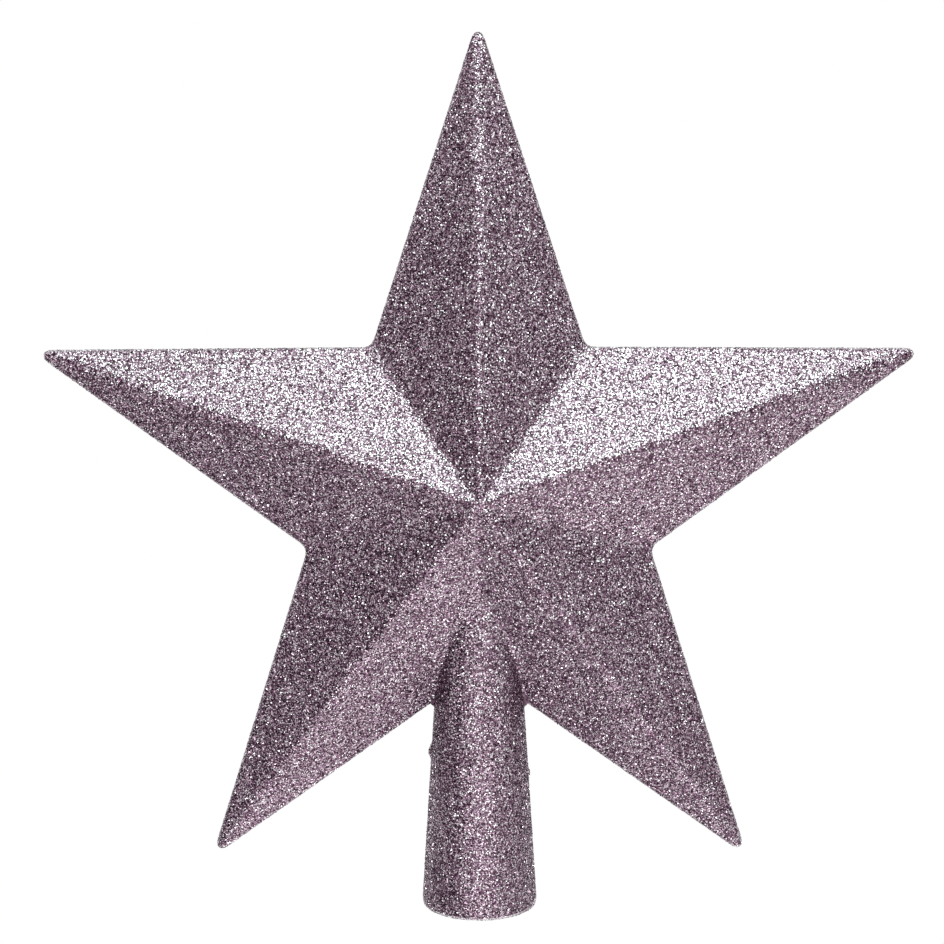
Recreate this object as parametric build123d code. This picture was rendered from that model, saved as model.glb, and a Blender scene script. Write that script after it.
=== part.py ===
from build123d import *
from math import atan, cos, pi, radians, sin, sqrt, tan
import os

# Tree-top star: two moulded half shells, cemented along the plane Y = 0, then lacquered and glittered all over.
# Frame: origin at the centre of the socket's mouth, +Z up the tree, the front of the star faces -Y. Millimetres.

# Star, bare plastic
POINTS = 5
TIP_RADIUS = 99.7  # star's centre to the sharp corner of a point
NOTCH_RADIUS = 38.6  # star's centre to the corner between two points
TIP_ROUND = 0.9  # in the outline of a point
PEAK_DEPTH = 17.6  # parting plane to the peak where the facets would meet
PEAK_BLUNT = 0.7  # height taken off that peak
EDGE_BAND = 0.6  # straight band along the outline, on each half
WALL = 1.2
INNER_TIP_ROUND = 0.5
CENTRE_HEIGHT = 91.7  # star's centre above the socket's mouth

# Socket that the tree's leader goes into
SOCKET_BORE_RADIUS = 10.5
SOCKET_LAND = 8.0  # straight length of the bore, from the mouth
SOCKET_TAPER = 3.6  # degrees, half angle, the socket narrows upwards
SOCKET_WALL = 1.35
LIP_CHAMFER = 0.8

# Seam between the halves
CEMENT_FILM = 0.1
PEG_CIRCLE = 45.0  # distance of the locating pegs from the star's centre
PEG_RADIUS = 1.5
PEG_REACH = 3.0  # length of a peg past the parting plane
PEG_CLEARANCE = 0.1  # round a peg in its boss
PEG_END_GAP = 0.4  # past a peg's end
BOSS_WALL = 1.2

# Coats over the outside
LACQUER_THICKNESS = 0.15
GLITTER_THICKNESS = 0.35

# Every straight edge of the outline lies at the same distance from the star's centre, so all facets share one slope.
HALF_SECTOR = pi / POINTS
EDGE_LENGTH = sqrt(
    TIP_RADIUS**2 + NOTCH_RADIUS**2 - 2 * TIP_RADIUS * NOTCH_RADIUS * cos(HALF_SECTOR)
)
EDGE_DISTANCE = TIP_RADIUS * NOTCH_RADIUS * sin(HALF_SECTOR) / EDGE_LENGTH
SLOPE = atan((PEAK_DEPTH - EDGE_BAND) / EDGE_DISTANCE)
NARROWING = tan(radians(SOCKET_TAPER))
MOUTH_RADIUS = SOCKET_BORE_RADIUS + SOCKET_WALL + SOCKET_LAND * NARROWING

# The slab on one side of the seam reaches past the whole star.
BEYOND = 4 * TIP_RADIUS


def star_plane(depth):
    """The plane at a depth in front of the parting plane, centred on the star, with its normal to the front."""
    return Plane((0, -depth, CENTRE_HEIGHT), x_dir=(1, 0, 0), z_dir=(0, -1, 0))


def star_corners(edge_distance):
    """The corners of a star whose straight edges lie at edge_distance from its centre."""
    size = edge_distance / EDGE_DISTANCE
    corners = []
    for i in range(2 * POINTS):
        reach = size * (NOTCH_RADIUS if i % 2 else TIP_RADIUS)
        angle = pi / 2 + i * HALF_SECTOR
        corners.append((reach * cos(angle), reach * sin(angle)))
    return corners


def facets(corners, band, peak):
    """The flat faces from the outline, at the depth of the band, to a peak in front and one behind."""
    faces = []
    for a, b in zip(corners, corners[1:] + corners[:1]):
        front = [star_plane(band).from_local_coords(corner) for corner in (a, b)]
        rear = [star_plane(-band).from_local_coords(corner) for corner in (b, a)]
        faces.append(Face(Wire.make_polygon([*front, star_plane(peak).origin])))
        faces.append(Face(Wire.make_polygon([*rear, star_plane(-peak).origin])))
        if band > 0:
            faces.append(Face(Wire.make_polygon(front + rear)))
    return faces


def faceted_star(edge_distance, tip_round, band, peak, blunt_peak):
    """A star with facets on both sides of its outline, its tips rounded and its two peaks blunted."""
    corners = star_corners(edge_distance)
    sharp = Part() + Solid(Shell(facets(corners, band, peak)))
    outline = make_face(Polyline(*corners, close=True))
    tips = outline.vertices().sort_by_distance((0, 0, 0))[-POINTS:]
    rounded = star_plane(0) * fillet(tips, tip_round)
    return sharp & extrude(rounded, blunt_peak, both=True)


def turned(*profile):
    """A solid turned about the socket's axis from a profile of (radius, height) points."""
    return revolve(Plane.XZ * make_face(Polyline(*profile, close=True)), Axis.Z)


def outer_form(cover):
    """The outside of star and socket, at a cover's thickness over the bare plastic. It ends at the mouth's plane."""
    star = faceted_star(
        EDGE_DISTANCE + cover,
        TIP_ROUND + cover,
        EDGE_BAND + cover * (1 / cos(SLOPE) - tan(SLOPE)),
        PEAK_DEPTH + cover / cos(SLOPE),
        PEAK_DEPTH - PEAK_BLUNT + cover,
    )
    wall_at_mouth = MOUTH_RADIUS + cover / cos(radians(SOCKET_TAPER))
    lip_radius = MOUTH_RADIUS - LIP_CHAMFER + cover * sqrt(2)
    lip_height = (wall_at_mouth - lip_radius) / (1 + NARROWING)
    socket = turned(
        (0, 0),
        (lip_radius, 0),
        (lip_radius + lip_height, lip_height),
        (wall_at_mouth - CENTRE_HEIGHT * NARROWING, CENTRE_HEIGHT),
        (0, CENTRE_HEIGHT),
    )
    return star + socket


def inner_hollow():
    """The hollow of the star, one wall inside its facets, and the socket's bore that opens into it."""
    peak = PEAK_DEPTH - WALL / cos(SLOPE)
    star = faceted_star(
        peak / tan(SLOPE), INNER_TIP_ROUND, 0, peak, PEAK_DEPTH - PEAK_BLUNT - WALL
    )
    bore = turned(
        (0, 0),
        (SOCKET_BORE_RADIUS, 0),
        (SOCKET_BORE_RADIUS, SOCKET_LAND),
        (SOCKET_BORE_RADIUS - (CENTRE_HEIGHT - SOCKET_LAND) * NARROWING, CENTRE_HEIGHT),
        (0, CENTRE_HEIGHT),
    )
    return star + bore


def slab(nearest, farthest):
    """All of space between two distances in front of the parting plane, about the star."""
    block = Box(BEYOND, farthest - nearest, BEYOND)
    return Pos(0, -(nearest + farthest) / 2, CENTRE_HEIGHT) * block


def rods(radius, nearest, farthest):
    """One round rod in each point of the star, square to the parting plane, between two depths in front of it."""
    rod = extrude(star_plane(nearest) * Circle(radius), farthest - nearest)
    placed = []
    for i in range(POINTS):
        angle = pi / 2 + 2 * i * HALF_SECTOR
        placed.append(Pos(PEG_CIRCLE * cos(angle), 0, PEG_CIRCLE * sin(angle)) * rod)
    return Part() + placed


def shell_wall():
    return outer_form(0) - inner_hollow()


def front_shell():
    """The front half, with pegs that stand on its inner wall and reach past the parting plane."""
    pegs = rods(PEG_RADIUS, -PEG_REACH, PEAK_DEPTH) & outer_form(0)
    return (shell_wall() & slab(CEMENT_FILM / 2, BEYOND)) + pegs


def rear_shell():
    """The rear half, with a boss for each peg that ends at the parting plane."""
    hole_radius = PEG_RADIUS + PEG_CLEARANCE
    bosses = rods(hole_radius + BOSS_WALL, -PEAK_DEPTH, -CEMENT_FILM / 2) & outer_form(0)
    holes = rods(hole_radius, -PEG_REACH - PEG_END_GAP, 0)
    return (shell_wall() & slab(-BEYOND, -CEMENT_FILM / 2)) + bosses - holes


def seam_cement():
    """The film that fills the seam all round the rim of the halves and down both sides of the socket."""
    return shell_wall() & slab(-CEMENT_FILM / 2, CEMENT_FILM / 2)


def lacquer_coat():
    return outer_form(LACQUER_THICKNESS) - outer_form(0)


def glitter_coat():
    return outer_form(LACQUER_THICKNESS + GLITTER_THICKNESS) - outer_form(LACQUER_THICKNESS)


os.makedirs("parts", exist_ok=True)
for piece in (front_shell, rear_shell, seam_cement, lacquer_coat, glitter_coat):
    export_step(piece(), f"parts/{piece.__name__}.step")
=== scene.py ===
# %% [markdown]
# A star for the top of a tree: two thin plastic halves cemented together, sprayed with tinted lacquer
# and rolled in glitter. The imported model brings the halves, the cement and plain solids for the two
# coats. This lesson keeps the halves and the cement and makes the coats as they really look: a soft
# skin of lacquer with some four hundred thousand separate flakes on it.

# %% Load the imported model
import bmesh
import bpy
import numpy as np
from math import asin, atan2, cos, degrees, hypot, pi, radians, sin, sqrt, tan
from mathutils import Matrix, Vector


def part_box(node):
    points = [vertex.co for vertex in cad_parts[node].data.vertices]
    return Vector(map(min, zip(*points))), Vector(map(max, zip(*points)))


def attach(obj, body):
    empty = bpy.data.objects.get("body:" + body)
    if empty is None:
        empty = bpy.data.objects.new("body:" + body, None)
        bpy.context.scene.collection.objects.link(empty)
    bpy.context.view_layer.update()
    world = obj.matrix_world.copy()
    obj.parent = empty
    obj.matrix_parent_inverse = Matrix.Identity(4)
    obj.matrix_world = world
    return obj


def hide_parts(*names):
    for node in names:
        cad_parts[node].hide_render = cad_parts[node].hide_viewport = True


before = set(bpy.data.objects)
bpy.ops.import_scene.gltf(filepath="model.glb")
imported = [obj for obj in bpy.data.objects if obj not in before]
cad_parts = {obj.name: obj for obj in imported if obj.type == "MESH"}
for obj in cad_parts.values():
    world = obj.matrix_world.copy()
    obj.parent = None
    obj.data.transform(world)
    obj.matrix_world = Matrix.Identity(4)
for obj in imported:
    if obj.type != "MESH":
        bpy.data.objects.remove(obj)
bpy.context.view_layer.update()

MM = 0.001  # Blender works in metres, and sizes below are written in millimetres

# %% [markdown]
# A few small helpers serve the whole lesson. Colours are picked as sRGB hex values, as on a screen,
# and Blender's sockets want linear light. Materials and scatter trees are both node trees, so one
# function adds any node with its settings and links. The others select and apply, as a hand would.

# %% Helpers for colours, nodes and selections
def linear(hex_code):
    """An sRGB colour such as #bca4b4 as the linear RGBA that sockets take."""
    srgb = [int(hex_code[i:i + 2], 16) / 255 for i in (1, 3, 5)]
    return (*[c / 12.92 if c <= 0.04045 else ((c + 0.055) / 1.055) ** 2.4 for c in srgb], 1)


def add(tree, kind, sockets=(), **settings):
    """Adds a node. In sockets, another node's socket is linked and any other value is set."""
    node = tree.nodes.new(kind)
    for name, value in settings.items():
        setattr(node, name, value)
    for key, value in dict(sockets).items():
        if isinstance(value, bpy.types.NodeSocket):
            tree.links.new(value, node.inputs[key])
        else:
            node.inputs[key].default_value = value
    return node


def select_only(*pieces):
    bpy.ops.object.select_all(action="DESELECT")
    for piece in pieces:
        piece.select_set(True)
    bpy.context.view_layer.objects.active = pieces[0]


def pick(piece, elements, test):
    """In edit mode, selects the vertices, edges or faces that pass a test, and nothing else."""
    bpy.ops.mesh.select_all(action="DESELECT")
    bpy.ops.mesh.select_mode(type={"verts": "VERT", "edges": "EDGE", "faces": "FACE"}[elements])
    mesh = bmesh.from_edit_mesh(piece.data)
    for element in getattr(mesh, elements):
        element.select_set(test(element))
    bmesh.update_edit_mesh(piece.data)


def apply_modifier(piece, kind, **settings):
    select_only(piece)
    bpy.ops.object.modifier_add(type=kind)
    modifier = piece.modifiers[-1]
    for name, value in settings.items():
        setattr(modifier, name, value)
    bpy.ops.object.modifier_apply(modifier=modifier.name)


# %% [markdown]
# The camera stands a little above the star and half a metre in front of it, and looks slightly down.
# Its place and lens were worked out from where the ten corners of the outline lie in the photograph.

# %% Camera
CAMERA_PLACE = (-1.1 * MM, -482.2 * MM, 168.1 * MM)
CAMERA_PITCH = 8.475  # degrees below the horizon
CAMERA_ROLL = 0.14
CAMERA_YAW = 0.022
CAMERA_LENS = 85.8  # mm
CAMERA_SENSOR = 36  # mm wide
camera = bpy.data.objects.new("camera", bpy.data.cameras.new("camera"))
camera.data.sensor_width = CAMERA_SENSOR
camera.data.lens = CAMERA_LENS
camera.location = CAMERA_PLACE
camera.rotation_euler = (radians(90 - CAMERA_PITCH), radians(CAMERA_ROLL), radians(CAMERA_YAW))
camera.data.clip_start = 0.01
bpy.context.scene.collection.objects.link(camera)
bpy.context.scene.camera = camera
bpy.context.scene.view_settings.view_transform = "Standard"
print("camera at", [round(x / MM, 1) for x in camera.location], "mm")

# %% [markdown]
# The star hangs in a white room. To the camera and in reflections the room is pure white. Matt surfaces
# get less light from it, so that the lamps still shape them. One world can do both, because Light Path
# tells what kind of ray is asking.

# %% White room
WORLD_LIGHT = 0.42  # what the white room gives to matt surfaces
WHITE = linear("#ffffff")

world = bpy.data.worlds.new("white studio")
bpy.context.scene.world = world
world.use_nodes = True
room = world.node_tree
room.nodes.clear()
path = add(room, "ShaderNodeLightPath")
shown = path.outputs["Is Camera Ray"]
for ray in ("Is Glossy Ray", "Is Transmission Ray"):
    shown = add(room, "ShaderNodeMath", {0: shown, 1: path.outputs[ray]}, operation="MAXIMUM").outputs[0]
light = add(room, "ShaderNodeBackground", {"Color": WHITE, "Strength": WORLD_LIGHT})
white = add(room, "ShaderNodeBackground", {"Color": WHITE, "Strength": 1.0})
seen = add(room, "ShaderNodeMixShader", {0: shown, 1: light.outputs[0], 2: white.outputs[0]})
add(room, "ShaderNodeOutputWorld", {"Surface": seen.outputs[0]})
print("world:", len(room.nodes), "nodes")

# %% [markdown]
# Glitter is thousands of tiny mirrors, so its look is made by what stands around it. A white room alone
# would turn every flake pale. As in a studio for jewellery, a screen of dark slats stands round the set:
# a flake mirrors either a slat or the white between two, and becomes a dark grain or a sparkle. The slats
# stand in three bands, and are wider where a facet of the star is to look darker.

# %% Where the slats stand
STAR_CENTRE = (0, 0, 91.7 * MM)
SCREEN_RADIUS = 0.47  # just short of the camera
SCREEN_SEGMENTS, SCREEN_RINGS = 288, 36
SCREEN_LOW = -75  # degrees above the horizon
# Three bands of slats, each with its upper edge in degrees above the horizon, its number of slats, and
# its share of white between them, by degrees to the right of the camera's side
BANDS = (
    (-25, 7, ((-180, 0.60), (-140, 0.64), (-90, 0.62), (-46, 0.65), (0, 1.00), (46, 1.00), (90, 1.00),
              (140, 0.85), (180, 0.60))),
    (9, 12, ((-180, 0.15), (-150, 0.30), (-125, 0.65), (-110, 0.75), (-66, 0.40), (-46, 0.50), (-30, 0.95),
             (0, 1.00), (30, 1.00), (46, 0.67), (66, 0.67), (110, 0.66), (125, 0.62), (150, 0.30),
             (180, 0.15))),
    (30, 12, ((-180, 0.20), (-150, 0.30), (-110, 0.65), (-66, 0.49), (-46, 0.54), (0, 0.40), (46, 0.47),
              (66, 0.50), (110, 0.62), (150, 0.30), (180, 0.20))),
)


def between_slats(face):
    """True for a face of the sphere that is no part of a slat."""
    place = face.calc_center_median()
    height = degrees(asin((place.z - STAR_CENTRE[2]) / SCREEN_RADIUS))
    azimuth = degrees(atan2(place.x, -place.y))
    if height < SCREEN_LOW:
        return True
    for top, slats, gaps in BANDS:
        if height < top:
            return azimuth / 360 * slats % 1 < np.interp(azimuth, *zip(*gaps))
    return True


print("slats:", [slats for _, slats, _ in BANDS])

# %% [markdown]
# The screen could be built slat by slat, but a sphere whose faces are deleted between the slats is
# quicker to make and to adjust. Only reflections see it, so it keeps no light from the star. Its paint
# is matt and dark plum, and even the darkest grains stay warm.

# %% Slatted screen
SLAT_COLOUR = "#4c3548"
STAGE_ROUGHNESS = 0.9
STAGE_SHINE = 0.1


def material(name):
    """A new material with its node tree and its Principled shader."""
    made = bpy.data.materials.new(name)
    made.use_nodes = True
    return made, made.node_tree, made.node_tree.nodes["Principled BSDF"]


def matt(name, colour):
    """A plain material of the stage."""
    made, tree, shader = material(name)
    shader.inputs["Base Color"].default_value = linear(colour)
    shader.inputs["Roughness"].default_value = STAGE_ROUGHNESS
    shader.inputs["Specular IOR Level"].default_value = STAGE_SHINE
    return made, tree, shader


bpy.ops.object.select_all(action="DESELECT")
bpy.ops.mesh.primitive_uv_sphere_add(segments=SCREEN_SEGMENTS, ring_count=SCREEN_RINGS,
                                     radius=SCREEN_RADIUS, location=STAR_CENTRE)
screen = bpy.context.object
screen.name = "slatted_screen"
bpy.ops.object.transform_apply()
bpy.ops.object.mode_set(mode="EDIT")
pick(screen, "faces", between_slats)
bpy.ops.mesh.delete(type="FACE")
bpy.ops.object.mode_set(mode="OBJECT")
for ray in ("camera", "diffuse", "shadow", "transmission"):
    setattr(screen, f"visible_{ray}", False)
screen.data.materials.append(matt("dark slat paint", SLAT_COLOUR)[0])
print("screen faces:", len(screen.data.polygons))

# %% [markdown]
# The floor is a plain pale disc. It lies well below the star, whose shadow falls on it out of the
# picture, and the flakes don't mirror it, because they are to see the white room on that side too. Seen
# by the camera, it fades into the white background towards its rim, as a paper sweep does in a studio.

# %% Floor
ROUND = 128  # corners of what is to look round
FLOOR_COLOUR = "#f0e1e9"  # faintly rose, which the light of the softboxes evens out
FLOOR_HEIGHT = -0.4
FLOOR_RADIUS = 0.95
FADE_FROM = 0.35  # radius where the floor starts to fade

bpy.ops.object.select_all(action="DESELECT")
bpy.ops.mesh.primitive_circle_add(vertices=ROUND, radius=FLOOR_RADIUS, fill_type="NGON",
                                  location=(0, 0, FLOOR_HEIGHT))
floor = bpy.context.object
floor.name = "floor"
bpy.ops.object.transform_apply()
sweep, tree, shader = matt("pale paper sweep", FLOOR_COLOUR)
place = add(tree, "ShaderNodeTexCoord").outputs["Object"]
level = add(tree, "ShaderNodeVectorMath", {0: place, 1: (1, 1, 0)}, operation="MULTIPLY")
reach = add(tree, "ShaderNodeVectorMath", {0: level.outputs[0]}, operation="LENGTH")
fade = add(tree, "ShaderNodeMapRange", {"Value": reach.outputs["Value"], "From Min": FADE_FROM,
                                        "From Max": FLOOR_RADIUS}, interpolation_type="SMOOTHSTEP")
to_camera = add(tree, "ShaderNodeLightPath").outputs["Is Camera Ray"]
faded = add(tree, "ShaderNodeMath", {0: fade.outputs[0], 1: to_camera}, operation="MULTIPLY")
glow = add(tree, "ShaderNodeEmission", {"Color": WHITE, "Strength": 1.0})
blend = add(tree, "ShaderNodeMixShader", {0: faded.outputs[0], 1: shader.outputs[0], 2: glow.outputs[0]})
tree.links.new(blend.outputs[0], tree.nodes["Material Output"].inputs["Surface"])
floor.data.materials.append(sweep)
floor.visible_glossy = False
print("floor at", FLOOR_HEIGHT, "m")

# %% [markdown]
# One large softbox above the camera lights the star. The facets that face upwards mirror it, which is
# why they are by far the brightest, and its faint green takes the lilac out of them. A weaker one does
# the same behind the star. Two fills brighten the facets that look down to the right and the middle of
# the socket. Last, a ring of small bright lamps gives a few flakes on every side a pin-point sparkle.

# %% Lamps
LAMP_DISTANCE = 1.1  # from the star's centre
# Degrees to the right of the camera, degrees above the horizon, width and height, radiance, colour
SOFTBOXES = {
    "key softbox": (9, 48, 1.0, 0.75, 4.5, "#dcffec"),
    "rear softbox": (180, 50, 0.9, 0.6, 2.2, "#dcffec"),
    "low fill": (28, -68, 0.6, 0.6, 1.25, "#ffffff"),
    "front fill": (0, -6.5, 0.6, 0.4, 2.1, "#ffffff"),
}
SPARKLE_LAMPS = 12
SPARKLE_HEIGHTS = (14, -22, -52)  # degrees, taken in turn
SPARKLE_LAMP = (0.1, 0.1, 8, "#ffffff")  # width, height, radiance and colour of each

lamps = dict(SOFTBOXES)
for number in range(SPARKLE_LAMPS):
    azimuth = (number + 0.5) * 360 / SPARKLE_LAMPS
    elevation = SPARKLE_HEIGHTS[number % len(SPARKLE_HEIGHTS)]
    lamps[f"sparkle lamp {number}"] = (azimuth, elevation, *SPARKLE_LAMP)
for name, (azimuth, elevation, width, height, radiance, colour) in lamps.items():
    lamp = bpy.data.lights.new(name, "AREA")
    lamp.shape = "RECTANGLE"
    lamp.size, lamp.size_y = width, height
    lamp.energy = radiance * pi * width * height
    lamp.color = linear(colour)[:3]
    holder = bpy.data.objects.new(name, lamp)
    bpy.context.scene.collection.objects.link(holder)
    a, e = radians(azimuth), radians(elevation)
    holder.location = (STAR_CENTRE[0] + LAMP_DISTANCE * sin(a) * cos(e),
                       STAR_CENTRE[1] - LAMP_DISTANCE * cos(a) * cos(e),
                       STAR_CENTRE[2] + LAMP_DISTANCE * sin(e))
    holder.rotation_euler = (pi / 2 - e, 0, a)
    holder.visible_diffuse = name in SOFTBOXES  # the small lamps leave the floor plain
    print(name, "at", [round(c, 2) for c in holder.location])

# %% [markdown]
# The lacquered star's outer form comes first, because the flakes lie on it. Its sizes are those of the
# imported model, with the lacquer on top. The smoothing that follows later takes a little off edges and
# ridges, so they are made that much larger here.

# %% Sizes of the star
POINTS = 5
HALF_SECTOR = pi / POINTS
LACQUER = 0.15 * MM
TIP_RADIUS = 99.7 * MM  # bare plastic, to the sharp corner
NOTCH_RADIUS = 38.6 * MM
PEAK_DEPTH = 17.6 * MM
EDGE_SPARE = 0.12 * MM  # what the smoothing takes off a thin edge
RIDGE_SPARE = 0.22 * MM  # and off a ridge
EDGE_BAND = 0.95 * MM  # each side of the seam, with what the smoothing takes off
CENTRE_HEIGHT = STAR_CENTRE[2]
edge_length = sqrt(TIP_RADIUS**2 + NOTCH_RADIUS**2 - 2 * TIP_RADIUS * NOTCH_RADIUS * cos(HALF_SECTOR))
edge_distance = TIP_RADIUS * NOTCH_RADIUS * sin(HALF_SECTOR) / edge_length
half_tip = asin(edge_distance / TIP_RADIUS)  # half the angle of a point
half_notch = half_tip + HALF_SECTOR  # half the angle of the opening between two points
coated = 1 + (LACQUER + EDGE_SPARE) / edge_distance
print("edges lie", round(edge_distance / MM, 1), "mm from the star's centre")

# %% [markdown]
# A disc of ten corners is the outline's start. Every second corner is pulled in, and bevels round the
# notches and then the tips. Drawing a star corner by corner would do as well, but here each step can be
# seen and changed.

# %% Outline of the star
TIP_ROUND = 1.2 * MM
NOTCH_ROUND = 2.5 * MM
TIP_STEPS, NOTCH_STEPS = 6, 4  # straight pieces in each rounding


def turn_of(place):
    """How far round the star's centre a place lies, clockwise from the top, in half sectors."""
    return atan2(place.x, place.z - CENTRE_HEIGHT) / HALF_SECTOR


def from_axis(place):
    return hypot(place.x, place.z - CENTRE_HEIGHT)


bpy.ops.object.select_all(action="DESELECT")
bpy.ops.mesh.primitive_circle_add(vertices=2 * POINTS, radius=TIP_RADIUS * coated, fill_type="NGON",
                                  location=STAR_CENTRE, rotation=(pi / 2, 0, 0))
skin = bpy.context.object
skin.name = "lacquer_skin"
bpy.ops.object.transform_apply()
bpy.ops.object.mode_set(mode="EDIT")
pick(skin, "verts", lambda v: round(turn_of(v.co)) % 2)
pull = NOTCH_RADIUS / TIP_RADIUS
bpy.ops.transform.resize(value=(pull, pull, pull), center_override=STAR_CENTRE)
bpy.ops.mesh.bevel(offset=NOTCH_ROUND / tan(half_notch), segments=NOTCH_STEPS, affect="VERTICES")
pick(skin, "verts", lambda v: from_axis(v.co) > TIP_RADIUS)
bpy.ops.mesh.bevel(offset=(TIP_ROUND + LACQUER) / tan(half_tip), segments=TIP_STEPS, affect="VERTICES")
bpy.ops.object.mode_set(mode="OBJECT")
print("outline:", len(skin.data.vertices), "corners")

# %% [markdown]
# An extrusion gives the outline its thin band along the seam. Poking the front and the rear face pulls
# their middles out to two peaks, which makes all twenty facets at once, and a last bevel blunts the peaks.

# %% Facets of the star
PEAK_FLAT = 1.2 * MM  # cut back along the edges that meet at a peak
NEAR_AXIS = 1 * MM
FRONT_ON = 0.9  # of a normal along Y, from where a face looks to the front or the rear

bpy.ops.object.mode_set(mode="EDIT")
bpy.ops.mesh.select_all(action="SELECT")
bpy.ops.transform.translate(value=(0, -EDGE_BAND, 0))
bpy.ops.mesh.extrude_region_move(TRANSFORM_OT_translate={"value": (0, 2 * EDGE_BAND, 0)})
bpy.ops.mesh.select_all(action="SELECT")
bpy.ops.mesh.normals_make_consistent(inside=False)
pick(skin, "faces", lambda face: abs(face.normal.y) > FRONT_ON)
bpy.ops.mesh.poke(offset=PEAK_DEPTH + LACQUER + RIDGE_SPARE - EDGE_BAND)
pick(skin, "verts", lambda v: from_axis(v.co) < NEAR_AXIS)
bpy.ops.mesh.bevel(offset=PEAK_FLAT, segments=1, affect="VERTICES")
bpy.ops.object.mode_set(mode="OBJECT")
print("star blank:", len(skin.data.polygons), "faces", [round(x / MM, 2) for x in skin.dimensions])

# %% [markdown]
# The socket is a cone that narrows upwards into the star, with a rounded lip. Two small blobs sit on
# its seam, where lacquer ran and took up more glitter. All these closed shapes overlap, and a voxel
# remesh wraps them in one even skin.

# %% Socket and skin
MOUTH_RADIUS = 12.35 * MM + LACQUER
SOCKET_TAPER = tan(radians(3.6))
LIP_ROUND = 0.9 * MM
LIP_STEPS = 5
LIP_HANG = 0.7 * MM  # lacquer below the plastic's rim
VOXEL = 0.5 * MM
BLOBS = ((-9.2, 34, 1.95), (9.3, 29, 1.8))  # x, z and radius, mm

bpy.ops.object.select_all(action="DESELECT")
bpy.ops.mesh.primitive_cone_add(vertices=ROUND, radius1=MOUTH_RADIUS + SOCKET_TAPER * LIP_HANG,
                                radius2=MOUTH_RADIUS - SOCKET_TAPER * CENTRE_HEIGHT,
                                depth=CENTRE_HEIGHT + LIP_HANG,
                                location=(0, 0, (CENTRE_HEIGHT - LIP_HANG) / 2))
socket = bpy.context.object
bpy.ops.object.transform_apply()
bpy.ops.object.mode_set(mode="EDIT")
pick(socket, "edges", lambda edge: all(v.co.z < VOXEL for v in edge.verts))
bpy.ops.mesh.bevel(offset=LIP_ROUND, segments=LIP_STEPS, affect="EDGES")
bpy.ops.object.mode_set(mode="OBJECT")
blobs = []
for x, z, radius in BLOBS:
    bpy.ops.mesh.primitive_ico_sphere_add(subdivisions=3, radius=radius * MM, location=(x * MM, 0, z * MM))
    bpy.ops.object.transform_apply()
    blobs.append(bpy.context.object)
select_only(skin, socket, *blobs)
bpy.ops.object.join()
apply_modifier(skin, "REMESH", mode="VOXEL", voxel_size=VOXEL)
print("skin:", len(skin.data.polygons), "faces")

# %% [markdown]
# Smoothing turns the crisp edges into the soft ridges that thick lacquer leaves. The two corners where
# the socket leaves the star stay crisper, so a vertex group holds the smoothing back there. Lacquer is
# never quite even, and a fine cloud pattern moves the skin in and out by a tenth of a millimetre.

# %% Soften the skin
SMOOTHING = 4
CORNER_X, CORNER_Z = 10 * MM, 47.5 * MM  # where the socket leaves the star
CRISP_RADIUS = 5 * MM  # from there, as far as the smoothing is held back
WEIGHTS = 5  # steps of the vertex group
UNEVENNESS = 0.1 * MM
UNEVEN_SCALE = 2.5 * MM

places = np.empty(3 * len(skin.data.vertices))
skin.data.vertices.foreach_get("co", places)
x, y, z = places.reshape(-1, 3).T
nearness = np.sqrt((abs(x) - CORNER_X)**2 + y**2 + (z - CORNER_Z)**2) / CRISP_RADIUS
step = np.clip(nearness * WEIGHTS, 1, WEIGHTS).astype(int)
soften = skin.vertex_groups.new(name="soften")
for weight in range(1, WEIGHTS + 1):
    soften.add(np.flatnonzero(step == weight).tolist(), weight / WEIGHTS, "REPLACE")
apply_modifier(skin, "SMOOTH", factor=0.5, iterations=SMOOTHING, vertex_group="soften")
clouds = bpy.data.textures.new("uneven lacquer", "CLOUDS")
clouds.noise_scale = UNEVEN_SCALE
apply_modifier(skin, "DISPLACE", texture=clouds, texture_coords="LOCAL", strength=UNEVENNESS, mid_level=0.5)
cad_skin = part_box("lacquer_coat")
print("skin:", len(skin.data.polygons), "faces", [round(x / MM, 2) for x in skin.dimensions],
      "CAD", [round(x / MM, 2) for x in cad_skin[1] - cad_skin[0]])

# %% [markdown]
# A flake is a square cut from metallised film, about a quarter of a millimetre across. Tumbling creases
# it along a diagonal, so that it shows two small mirrors that face slightly apart. Two opposite corners
# of a plane are raised, and a convex hull closes the shape: four triangles, few enough for what is
# copied so often. Its own small map lays it on one spot of a colour chart, and its tone moves it later.

# %% One flake
FLAKE = 0.27 * MM
FLAKE_RISE = 0.032 * MM  # of two corners over the other two
SWATCH = 0.01  # side of a flake's spot on the chart

bpy.ops.object.select_all(action="DESELECT")
bpy.ops.mesh.primitive_plane_add(size=FLAKE)
flake = bpy.context.object
flake.name = "flake"
bpy.ops.object.mode_set(mode="EDIT")
pick(flake, "verts", lambda v: v.co.x * v.co.y > 0)
bpy.ops.transform.translate(value=(0, 0, FLAKE_RISE))
bpy.ops.mesh.select_all(action="SELECT")
bpy.ops.mesh.delete(type="ONLY_FACE")
bpy.ops.mesh.select_all(action="SELECT")
bpy.ops.mesh.convex_hull(join_triangles=False)
bpy.ops.mesh.normals_make_consistent(inside=False)
bpy.ops.object.mode_set(mode="OBJECT")
FLAKE_FACES = len(flake.data.polygons)
chart = flake.data.uv_layers[0]
chart.name = "OFBake"
for corner in flake.data.loops:
    place = flake.data.vertices[corner.vertex_index].co
    chart.data[corner.index].uv = (SWATCH * (0.5 + place.x / FLAKE), SWATCH * (0.5 + place.y / FLAKE))
print("flake:", FLAKE_FACES, "faces")

# %% [markdown]
# The coat is shared out over ten patches of the star, front and rear of each point, and two of the
# socket, so that no piece grows too heavy. Each face of the skin notes which patch it belongs to.

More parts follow.
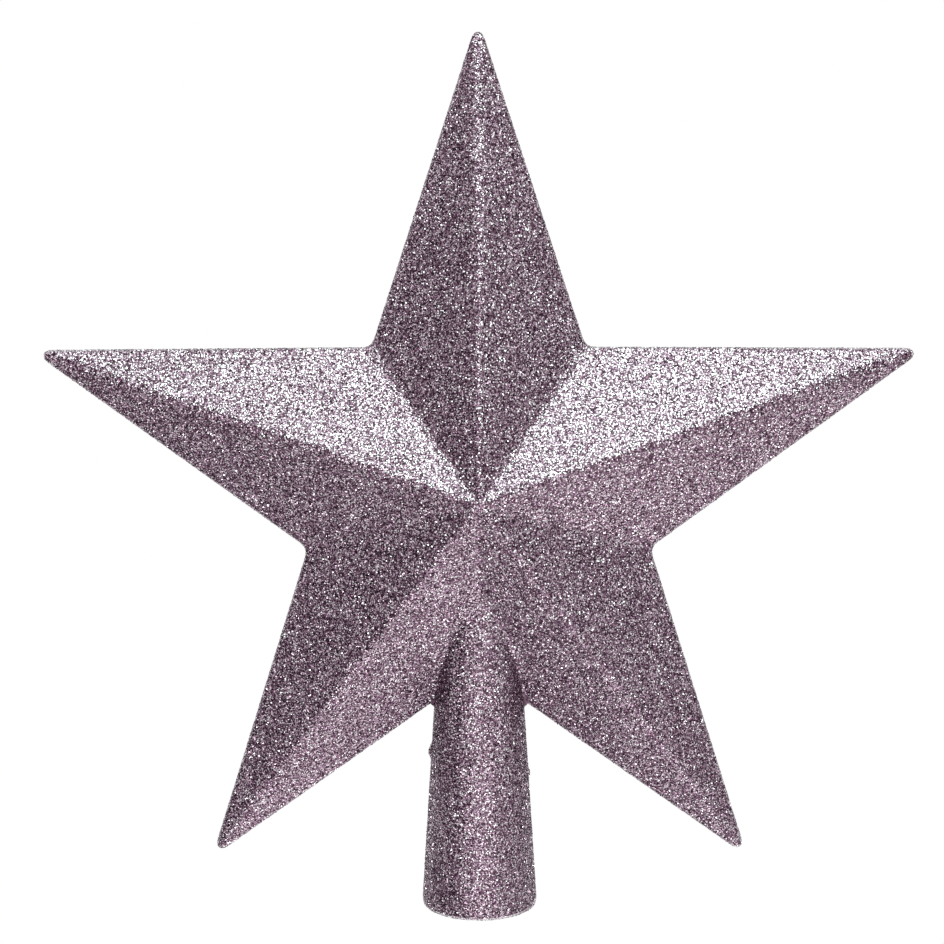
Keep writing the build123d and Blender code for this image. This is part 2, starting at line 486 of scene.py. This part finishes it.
# %% Patches of the coat
POINT_NAMES = ("top", "right", "lower_right", "lower_left", "left")
SOCKET_TOP = 62 * MM
SOCKET_SPARE = 0.3 * MM  # by which a face may lie off the plain cone
patches = [f"{point}_point_{side}_glitter" for point in POINT_NAMES for side in ("front", "rear")]
patches += ["socket_front_glitter", "socket_rear_glitter"]

faces = len(skin.data.polygons)
centres = np.empty(3 * faces)
skin.data.polygons.foreach_get("center", centres)
x, y, z = centres.reshape(-1, 3).T
sector = np.round(np.arctan2(x, z - CENTRE_HEIGHT) / (2 * HALF_SECTOR)).astype(int) % POINTS
on_socket = (z < SOCKET_TOP) & (np.hypot(x, y) < MOUTH_RADIUS + SOCKET_SPARE - SOCKET_TAPER * z)
patch = np.where(on_socket, POINTS, sector) * 2 + (y > 0)
inside_lip = (z < LIP_ROUND / 4) & (np.hypot(x, y) < MOUTH_RADIUS - LIP_ROUND)
patch[inside_lip] = len(patches)
skin.data.attributes.new("patch", "INT", "FACE").data.foreach_set("value", patch.astype(np.int32))
print("faces in each patch:", np.bincount(patch).tolist())

# %% [markdown]
# Glitter is strewn over wet lacquer and stays where it falls. Geometry nodes do the strewing, because
# no hand could place so many. The numbers that chance decides for each flake come first, each with a
# seed of its own, so that every run strews the same coat.

# %% Scatter tree: what chance decides
LIFT = (0.05 * MM, 0.2 * MM)
LIE = radians(9)  # usual tilt
STAND = radians(38)  # steepest extra tilt
SIZES = (0.8, 1.15)
# Seed, lowest and highest value
CHANCES = {"lift": (1, *LIFT), "lie": (2, -LIE, LIE), "stand": (3, -1, 1), "turn": (4, 0, 2 * pi),
           "size": (5, *SIZES), "tone": (6, 0, 1 - SWATCH), "shade": (7, 0, 1 - SWATCH)}

scatter = bpy.data.node_groups.new("strew flakes", "GeometryNodeTree")
count = add(scatter, "GeometryNodeInputIndex")
chance = {}
for name, (seed, least, most) in CHANCES.items():
    drawn = add(scatter, "FunctionNodeRandomValue", {2: least, 3: most, 7: count.outputs[0], 8: seed},
                data_type="FLOAT")
    chance[name] = drawn.outputs[1]
print("chance decides:", ", ".join(chance))

# %% [markdown]
# The tree takes the skin and the number of a patch, and drops all other faces. Points are spread over
# what is left, with a least distance between them, and lifted a little, as some flakes lie on others.

# %% Scatter tree: where the flakes fall
FLAKE_SPACING = 0.202 * MM  # least distance
TRIES_PER_MM2 = 95

scatter.interface.new_socket("Skin", in_out="INPUT", socket_type="NodeSocketGeometry")
scatter.interface.new_socket("Patch", in_out="INPUT", socket_type="NodeSocketInt")
scatter.interface.new_socket("Flakes", in_out="OUTPUT", socket_type="NodeSocketGeometry")
given = add(scatter, "NodeGroupInput")
patch_number = add(scatter, "GeometryNodeInputNamedAttribute", {"Name": "patch"}, data_type="INT")
other = add(scatter, "FunctionNodeCompare", {2: patch_number.outputs["Attribute"], 3: given.outputs["Patch"]},
            data_type="INT", operation="NOT_EQUAL")
area = add(scatter, "GeometryNodeDeleteGeometry",
           {"Geometry": given.outputs["Skin"], "Selection": other.outputs[0]}, domain="FACE")
spread = add(scatter, "GeometryNodeDistributePointsOnFaces",
             {"Mesh": area.outputs[0], "Distance Min": FLAKE_SPACING, "Density Max": TRIES_PER_MM2 / MM**2},
             distribute_method="POISSON")
rise = add(scatter, "ShaderNodeVectorMath", {0: spread.outputs["Normal"], "Scale": chance["lift"]},
           operation="SCALE")
lifted = add(scatter, "GeometryNodeSetPosition",
             {"Geometry": spread.outputs["Points"], "Offset": rise.outputs[0]})
print("scatter tree so far:", len(scatter.nodes), "nodes")

# %% [markdown]
# Each point takes a copy of the flake, turned any way round. Most flakes lie nearly flat and a few stand
# up steeply, because others hold them up. Adding a cubed random number to the tilt gives just that.

# %% Scatter tree: how the flakes lie
rare = add(scatter, "ShaderNodeMath", {0: chance["stand"], 1: 3}, operation="POWER")
steep = add(scatter, "ShaderNodeMath", {0: rare.outputs[0], 1: STAND}, operation="MULTIPLY")
tilt = add(scatter, "ShaderNodeMath", {0: chance["lie"], 1: steep.outputs[0]}, operation="ADD")
turn = add(scatter, "ShaderNodeCombineXYZ", {"X": tilt.outputs[0], "Z": chance["turn"]})
by = add(scatter, "FunctionNodeEulerToRotation", {"Euler": turn.outputs[0]})
pose = add(scatter, "FunctionNodeRotateRotation",
           {"Rotation": spread.outputs["Rotation"], "Rotate By": by.outputs[0]}, rotation_space="LOCAL")
model = add(scatter, "GeometryNodeObjectInfo", {"Object": flake})
copies = add(scatter, "GeometryNodeInstanceOnPoints",
             {"Points": lifted.outputs[0], "Instance": model.outputs["Geometry"],
              "Rotation": pose.outputs[0], "Scale": chance["size"]})
print("scatter tree so far:", len(scatter.nodes), "nodes")

# %% [markdown]
# No two flakes of a batch look alike. A tone and a shade are drawn for every copy and kept as attributes,
# which the film's material reads. They also move the copy's map to its own spot on the colour chart, so
# that a program without these attributes finds the same colours in a picture of the chart.

# %% Scatter tree: tone, shade and map
toned = copies.outputs[0]
for name in ("tone", "shade"):
    toned = add(scatter, "GeometryNodeStoreNamedAttribute",
                {"Geometry": toned, "Name": name, "Value": chance[name]},
                data_type="FLOAT", domain="INSTANCE").outputs[0]
toned = add(scatter, "GeometryNodeRealizeInstances", {"Geometry": toned}).outputs[0]
tone = add(scatter, "GeometryNodeInputNamedAttribute", {"Name": "tone"}, data_type="FLOAT")
shade = add(scatter, "GeometryNodeInputNamedAttribute", {"Name": "shade"}, data_type="FLOAT")
corner = add(scatter, "GeometryNodeInputNamedAttribute", {"Name": "OFBake"}, data_type="FLOAT_VECTOR")
at = add(scatter, "ShaderNodeCombineXYZ", {"X": tone.outputs[0], "Y": shade.outputs[0]})
spot = add(scatter, "ShaderNodeVectorMath", {0: corner.outputs[0], 1: at.outputs[0]}, operation="ADD")
charted = add(scatter, "GeometryNodeStoreNamedAttribute",
              {"Geometry": toned, "Name": "OFBake", "Value": spot.outputs[0]},
              data_type="FLOAT2", domain="CORNER")
add(scatter, "NodeGroupOutput", {"Flakes": charted.outputs[0]})
print("scatter tree:", len(scatter.nodes), "nodes")

# %% [markdown]
# The tree runs once for every patch, on a copy of the skin. Only the flakes of that patch are left when
# the modifier is applied, as plain triangles that any program can show.

# %% Flakes of every patch
flakes = []
for number, name in enumerate(patches):
    select_only(skin)
    bpy.ops.object.duplicate()
    piece = bpy.context.object
    piece.name = name
    bpy.ops.object.modifier_add(type="NODES")
    strew = piece.modifiers[-1]
    strew.node_group = scatter
    strew[scatter.interface.items_tree["Patch"].identifier] = number
    bpy.ops.object.modifier_apply(modifier=strew.name)
    piece.data.name = name
    flakes.append(piece)
    print(name, len(piece.data.polygons) // FLAKE_FACES, "flakes")
bpy.data.objects.remove(flake)

# %% [markdown]
# With the flakes strewn, the skin itself becomes the lacquer coat. A coarser remesh thins it to fewer
# faces, and a shrinkwrap keeps those under the flakes, also in the corners beside the socket. It is cut
# open at the mouth by a level plane through the rounded lip, and given the lacquer's thickness
# inwards, so that its inside lies against the plastic.

# %% Lacquer coat
LIP_CUT = 0.2 * MM - LIP_HANG
LACQUER_VOXEL = 1.0 * MM
select_only(skin)
bpy.ops.object.duplicate()
under_flakes = bpy.context.object
apply_modifier(skin, "REMESH", mode="VOXEL", voxel_size=LACQUER_VOXEL, use_smooth_shade=True)
apply_modifier(skin, "SHRINKWRAP", target=under_flakes, wrap_mode="INSIDE", offset=LACQUER / 4)
bpy.data.objects.remove(under_flakes)
select_only(skin)
bpy.ops.object.mode_set(mode="EDIT")
bpy.ops.mesh.select_all(action="SELECT")
bpy.ops.mesh.bisect(plane_co=(0, 0, LIP_CUT), plane_no=(0, 0, 1), clear_inner=True)
bpy.ops.object.mode_set(mode="OBJECT")
apply_modifier(skin, "SOLIDIFY", thickness=LACQUER, offset=-1, use_even_offset=True)
print("lacquer:", len(skin.data.polygons), "faces")

# %% [markdown]
# Glitter film is polyester with a breath of aluminium on it, here under a lilac lacquer. Each flake is
# one even colour, so the pattern is the change from flake to flake: the tone picks a place on a ramp
# from dark plum to silver, and the shade says how well polished the flake still is. The creases are
# modelled, so this film needs no bump.

# %% Metallised film
# A mirror with a lilac cast, bright where it faces a lamp and dark beside it, hence fully metallic
TONES = ((0.0, "#2c1a27"), (0.25, "#735769"), (0.5, "#997e91"),
         (0.75, "#bda9b7"), (0.92, "#e2d9de"), (1.0, "#ffffff"))
FILM_ROUGHNESS = (0.05, 0.14)

film, tree, shader = material("metallised polyester film")
drawn = add(tree, "ShaderNodeAttribute", attribute_name="tone")
ramp = add(tree, "ShaderNodeValToRGB", {"Fac": drawn.outputs["Fac"]})
while len(ramp.color_ramp.elements) < len(TONES):
    ramp.color_ramp.elements.new(0.5)
for element, (place, colour) in zip(ramp.color_ramp.elements, TONES):
    element.position = place
    element.color = linear(colour)
tree.links.new(ramp.outputs["Color"], shader.inputs["Base Color"])
drawn = add(tree, "ShaderNodeAttribute", attribute_name="shade")
polish = add(tree, "ShaderNodeMapRange", {"Value": drawn.outputs["Fac"], "To Min": FILM_ROUGHNESS[0],
                                          "To Max": FILM_ROUGHNESS[1]})
tree.links.new(polish.outputs[0], shader.inputs["Roughness"])
shader.inputs["Metallic"].default_value = 1.0
print(film.name, "with", len(TONES), "tones")

# %% [markdown]
# The other three finishes are a sprayed lacquer, a moulded plastic and a set cement. All three drift
# slowly in colour and gloss and carry a much finer relief, so one recipe makes them: a broad noise mixes
# two colours and two levels of gloss, and a fine noise feeds a bump. The sizes are real ones, and a
# stretch draws the broad noise out where the stuff flowed while it was soft.

# %% Lacquer, plastic and cement
NOISE_RANGE = {"From Min": 0.3, "From Max": 0.7}  # nearly all values of a noise lie in it
RELIEF_STRENGTH = 0.6


def drifting(name, colours, roughness, drift, grain, relief, stretch=(1, 1, 1)):
    """A finish whose colour and gloss drift over patches of one size, with a relief of a finer grain."""
    finish, tree, shader = material(name)
    place = add(tree, "ShaderNodeTexCoord").outputs["Object"]
    drawn = add(tree, "ShaderNodeMapping", {"Vector": place, "Scale": stretch})
    broad = add(tree, "ShaderNodeTexNoise", {"Vector": drawn.outputs[0], "Scale": 1 / drift, "Detail": 4})
    share = add(tree, "ShaderNodeMapRange", {"Value": broad.outputs[0], **NOISE_RANGE})
    colour = add(tree, "ShaderNodeMix", {0: share.outputs[0], 6: linear(colours[0]), 7: linear(colours[1])},
                 data_type="RGBA")
    gloss = add(tree, "ShaderNodeMapRange", {"Value": broad.outputs[0], **NOISE_RANGE,
                                             "To Min": roughness[0], "To Max": roughness[1]})
    fine = add(tree, "ShaderNodeTexNoise", {"Vector": place, "Scale": 1 / grain, "Detail": 3})
    bump = add(tree, "ShaderNodeBump", {"Height": fine.outputs[0], "Distance": relief,
                                        "Strength": RELIEF_STRENGTH})
    tree.links.new(colour.outputs[2], shader.inputs["Base Color"])
    tree.links.new(gloss.outputs[0], shader.inputs["Roughness"])
    tree.links.new(bump.outputs[0], shader.inputs["Normal"])
    print(finish.name, "drifts over", drift / MM, "mm, grain", grain / MM, "mm")
    return finish


# Sprayed thick and tinted: a deep plum shine with the ripple of orange peel between the flakes
lacquer = drifting("sprayed nitrocellulose lacquer", ("#4e2a43", "#6b3d5e"), (0.22, 0.38),
                   drift=7 * MM, grain=0.9 * MM, relief=0.05 * MM)
# Injected from the socket's end: satin and even, with faint flow marks along the socket
plastic = drifting("moulded polystyrene", ("#645060", "#715a6b"), (0.38, 0.52),
                   drift=6 * MM, grain=0.35 * MM, relief=0.015 * MM, stretch=(1, 1, 0.2))
# A film squeezed out of the seam: pale, clouded and glossy, with small wrinkles from drying
cement = drifting("set solvent cement", ("#aea2a8", "#c6bec1"), (0.18, 0.34),
                  drift=3 * MM, grain=0.6 * MM, relief=0.04 * MM)

# %% [markdown]
# The halves and the cement have the right shape already, so they only get their finish. The skin and
# the flakes stand for the two plain coats of the imported model. The star has no moving parts, and the
# skin and the flakes ride on the one body.

# %% Dress the pieces
for node, finish in (("front_shell", plastic), ("rear_shell", plastic), ("seam_cement", cement)):
    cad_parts[node].data.materials.clear()
    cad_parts[node].data.materials.append(finish)
skin.name = "lacquer"
skin.data.materials.clear()
skin.data.materials.append(lacquer)
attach(skin, "root")
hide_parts("lacquer_coat")
for piece in flakes:
    piece.data.materials.clear()
    piece.data.materials.append(film)
    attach(piece, "root")
    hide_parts("glitter_coat")
